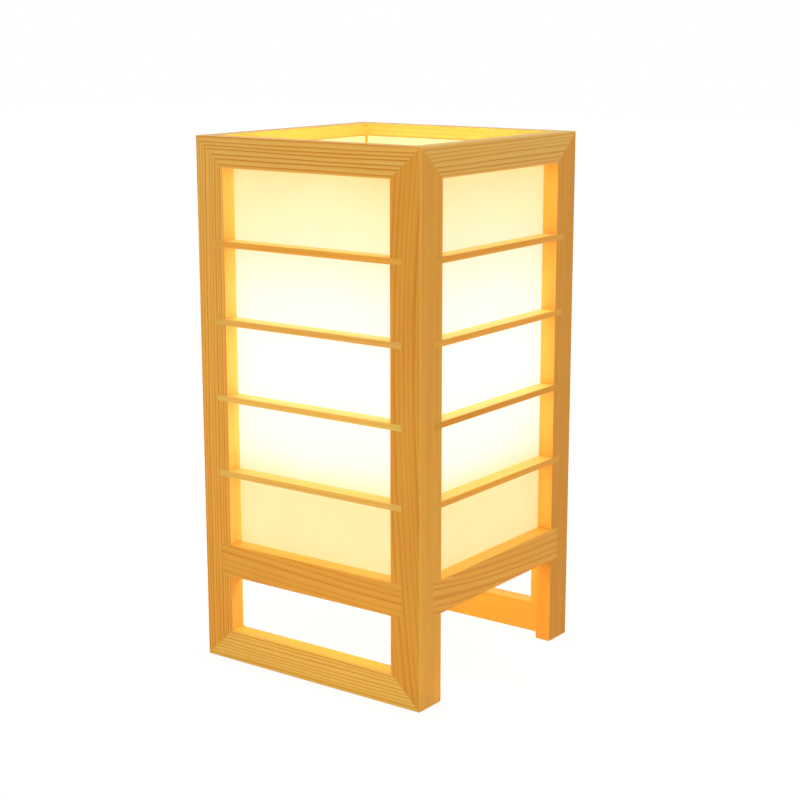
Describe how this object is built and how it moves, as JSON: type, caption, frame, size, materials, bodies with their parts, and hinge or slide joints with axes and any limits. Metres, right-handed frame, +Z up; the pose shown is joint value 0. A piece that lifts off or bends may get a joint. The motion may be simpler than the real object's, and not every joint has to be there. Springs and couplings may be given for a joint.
{
  "type": "table lamp",
  "caption": "Square shoji-style table lamp: mitred pine lattice frames with translucent sheets behind them, open top, open feet, and a screw-in bulb on a crossbar.",
  "frame": {"origin": "on the table, under the middle of the lamp", "axes": "+Z up, -Y out of the front frame, which has a bottom rail, +X out of the right frame, which stands on its stiles"},
  "size_m": [0.18, 0.18, 0.356],
  "materials": {
    "pine": "planed pine under a thin clear satin lacquer",
    "shade_sheet": "matt translucent sheet, lit from behind",
    "holder_plastic": "moulded, satin",
    "holder_ceramic": "unglazed",
    "contact_brass": "pressed, bare",
    "contact_metal": "tinned, dull",
    "plated_steel": "zinc plated",
    "bulb_cap_metal": "rolled, bright",
    "bulb_insulator": "smooth black",
    "bulb_housing": "smooth white",
    "bulb_diffuser": "opal, lit"
  },
  "bodies": {
    "lamp_case": {"back_bar_1": "pine", "back_bar_2": "pine", "back_bar_3": "pine", "back_bar_4": "pine", "back_bottom_rail": "pine", "back_left_stile": "pine", "back_mid_rail": "pine", "back_right_stile": "pine", "back_sheet": "shade_sheet", "back_top_rail": "pine", "centre_contact": "contact_brass", "contact_block": "holder_ceramic", "crossbar": "pine", "front_bar_1": "pine", "front_bar_2": "pine", "front_bar_3": "pine", "front_bar_4": "pine", "front_bottom_rail": "pine", "front_left_stile": "pine", "front_mid_rail": "pine", "front_right_stile": "pine", "front_sheet": "shade_sheet", "front_top_rail": "pine", "holder_cap": "holder_plastic", "holder_skirt": "holder_plastic", "left_back_stile": "pine", "left_bar_1": "pine", "left_bar_2": "pine", "left_bar_3": "pine", "left_bar_4": "pine", "left_front_stile": "pine", "left_mid_rail": "pine", "left_sheet": "shade_sheet", "left_top_rail": "pine", "right_back_stile": "pine", "right_bar_1": "pine", "right_bar_2": "pine", "right_bar_3": "pine", "right_bar_4": "pine", "right_front_stile": "pine", "right_mid_rail": "pine", "right_sheet": "shade_sheet", "right_top_rail": "pine", "screw_shell": "contact_brass", "threaded_tube": "plated_steel", "tube_nut": "plated_steel", "tube_washer": "plated_steel"},
    "bulb": {"bulb_end_contact": "contact_metal", "bulb_insulator": "bulb_insulator", "bulb_screw_cap": "bulb_cap_metal", "bulb_housing": "bulb_housing", "bulb_diffuser": "bulb_diffuser"}
  },
  "joints": [
    {"name": "bulb_lift", "type": "slide", "parent": "lamp_case", "child": "bulb", "axis": [0, 0, 1], "range_m": [0, 0.03]}
  ]
}
